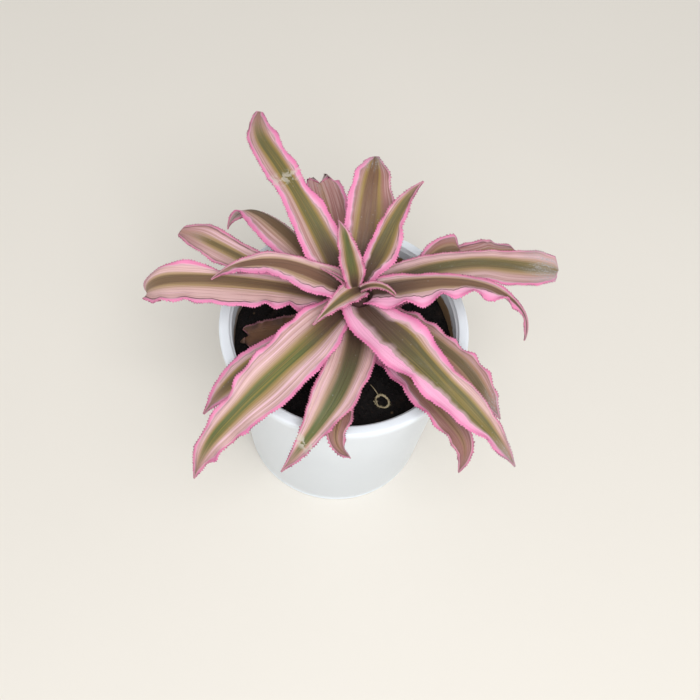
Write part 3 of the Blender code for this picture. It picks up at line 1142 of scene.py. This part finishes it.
class EARTHSTAR_OT_leaves(bpy.types.Operator):
    """Grow every live leaf of the rosette, toothed and rippled, in its place"""

    bl_idname = "earthstar.leaves"
    bl_label = "Leaves"

    def execute(self, context):
        settings = context.scene.earthstar_leaf
        skins = leaf_skin("leaf upper skin", settings), leaf_skin("leaf underside", settings, True)
        for seed, name in enumerate(BLADES):
            if name != WITHERED:
                add_blade(name, seed, "leaf", settings, skins)
        return {"FINISHED"}


class EARTHSTAR_OT_withered(bpy.types.Operator):
    """Lay the old, dark leaf low over the soil"""

    bl_idname = "earthstar.withered"
    bl_label = "Withered leaf"

    def execute(self, context):
        settings = context.scene.earthstar_leaf
        skins = (
            leaf_skin("old leaf skin", settings, age=AGE),
            leaf_skin("old leaf underside", settings, True, AGE),
        )
        add_blade(WITHERED, len(BLADES), "withered_leaf", settings, skins)
        return {"FINISHED"}


# -------- stage

VIEW_HEIGHT = 58.7  # degrees above the horizon
VIEW_ROLL = 6.6  # degrees that the camera leans
VIEW_REACH = 446  # mm from the aim to the lens
VIEW_AIM = (3.65, 0, 73.8)  # mm
LENS = 50
SENSOR = 36
LAMP_PLACE = (0.2, -0.6, 1.0)  # m
LAMP_SIZE = 0.9
FLOOR_RADIUS = 4


def add_camera():
    """Look down on the plant from in front, a little leaned over."""
    camera = bpy.data.objects.new("camera", bpy.data.cameras.new("camera"))
    camera.data.lens = LENS
    camera.data.sensor_width = SENSOR
    camera.data.clip_start = 0.01
    down = Matrix.Rotation(radians(90 - VIEW_HEIGHT), 4, "X")
    lean = Matrix.Rotation(radians(VIEW_ROLL), 4, "Z")
    back = Matrix.Translation((0, 0, VIEW_REACH * MM))
    camera.matrix_world = Matrix.Translation(Vector(VIEW_AIM) * MM) @ down @ lean @ back
    bpy.context.scene.collection.objects.link(camera)
    bpy.context.scene.camera = camera


def add_lamp(power):
    """A broad, soft lamp that faces the pot's foot."""
    lamp = bpy.data.lights.new("soft lamp", "AREA")
    lamp.shape = "DISK"
    lamp.size = LAMP_SIZE
    lamp.energy = power
    holder = bpy.data.objects.new("soft lamp", lamp)
    holder.location = LAMP_PLACE
    holder.rotation_euler = (-Vector(LAMP_PLACE)).to_track_quat("-Z", "Y").to_euler()
    bpy.context.scene.collection.objects.link(holder)


def add_floor(settings):
    """A plain round floor, faintly clouded."""
    shape = bmesh.new()
    bmesh.ops.create_circle(shape, cap_ends=True, segments=64, radius=FLOOR_RADIUS)
    mesh = bpy.data.meshes.new("floor")
    shape.to_mesh(mesh)
    shape.free()
    floor = bpy.data.objects.new("floor", mesh)
    bpy.context.scene.collection.objects.link(floor)
    finish = Finish("plain floor", {"Roughness": 0.6})
    cloud = finish.noise(finish.place(), 6, 3)
    mesh.materials.append(finish.wear(finish.shaded(settings.floor, 0.98 + (cloud - 0.5) * 0.04)))


class EARTHSTAR_OT_stage(bpy.types.Operator):
    """Set up the plain floor, soft light and camera"""

    bl_idname = "earthstar.stage"
    bl_label = "Stage"

    def execute(self, context):
        settings = context.scene.earthstar_stage
        context.scene.view_settings.view_transform = "Standard"
        add_camera()
        add_floor(settings)
        add_lamp(settings.lamp)
        world = bpy.data.worlds.new("even light")
        world.use_nodes = True
        background = world.node_tree.nodes["Background"]
        background.inputs["Strength"].default_value = settings.sky
        background.inputs["Color"].default_value = (1, 1, 1, 1)
        context.scene.world = world
        return {"FINISHED"}


# -------- panel

OPERATORS = (
    EARTHSTAR_OT_stage,
    EARTHSTAR_OT_pot,
    EARTHSTAR_OT_soil,
    EARTHSTAR_OT_stem,
    EARTHSTAR_OT_curl,
    EARTHSTAR_OT_leaves,
    EARTHSTAR_OT_withered,
)
SETTINGS = {
    "earthstar_pot": PotSettings,
    "earthstar_soil": SoilSettings,
    "earthstar_stem": StemSettings,
    "earthstar_curl": CurlSettings,
    "earthstar_leaf": LeafSettings,
    "earthstar_stage": StageSettings,
}


class EARTHSTAR_PT_panel(bpy.types.Panel):
    """Lists the plant's pieces and their settings"""

    bl_label = "Earth Star"
    bl_idname = "EARTHSTAR_PT_panel"
    bl_space_type = "VIEW_3D"
    bl_region_type = "UI"
    bl_category = "Earth Star"

    def draw(self, context):
        layout = self.layout
        for operator in OPERATORS:
            layout.operator(operator.bl_idname)
        for name, group in SETTINGS.items():
            box = layout.box()
            for setting in group.__annotations__:
                box.prop(getattr(context.scene, name), setting)


def register():
    for item in (*SETTINGS.values(), *OPERATORS, EARTHSTAR_PT_panel):
        bpy.utils.register_class(item)
    for name, group in SETTINGS.items():
        setattr(bpy.types.Scene, name, PointerProperty(type=group))


def unregister():
    for name in SETTINGS:
        delattr(bpy.types.Scene, name)
    for item in (EARTHSTAR_PT_panel, *reversed(OPERATORS), *SETTINGS.values()):
        bpy.utils.unregister_class(item)


def main():
    register()
    for operator in OPERATORS:
        group, name = operator.bl_idname.split(".")
        getattr(getattr(bpy.ops, group), name)()
    bpy.context.view_layer.update()


if __name__ == "__main__":
    main()
